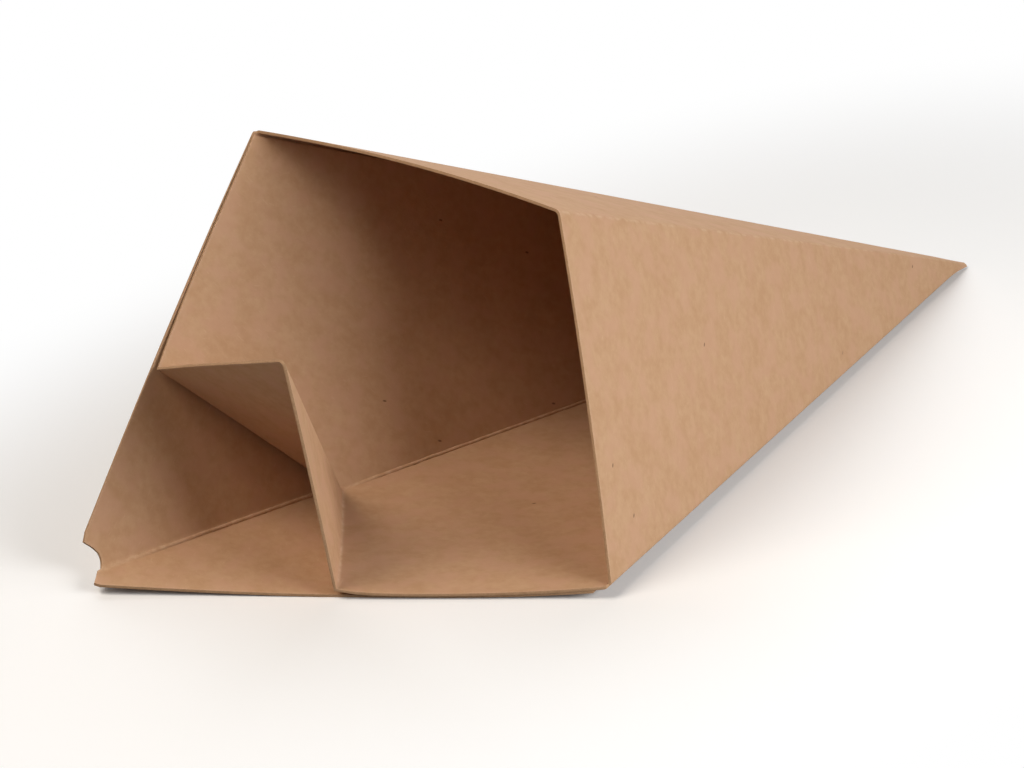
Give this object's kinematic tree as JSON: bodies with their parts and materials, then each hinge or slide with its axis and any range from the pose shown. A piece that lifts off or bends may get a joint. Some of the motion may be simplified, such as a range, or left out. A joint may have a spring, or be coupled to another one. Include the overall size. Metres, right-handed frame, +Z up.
{
  "type": "paper fries cone",
  "caption": "Folded kraft paperboard cone for fries, lying on its side, with a straight-cut slanted mouth and a popped-in corner pocket for dip.",
  "frame": {"origin": "on the surface the cone lies on, under the middle of its bounding box", "axes": "+Z up from the surface, +Y along the cone from the open mouth towards the tip, +X to the right when looking from the mouth to the tip"},
  "size_m": [0.0826, 0.2048, 0.0562],
  "materials": {
    "kraft_board": "matte uncoated"
  },
  "bodies": {
    "root": {"folded_sheet": "kraft_board"}
  },
  "joints": []
}
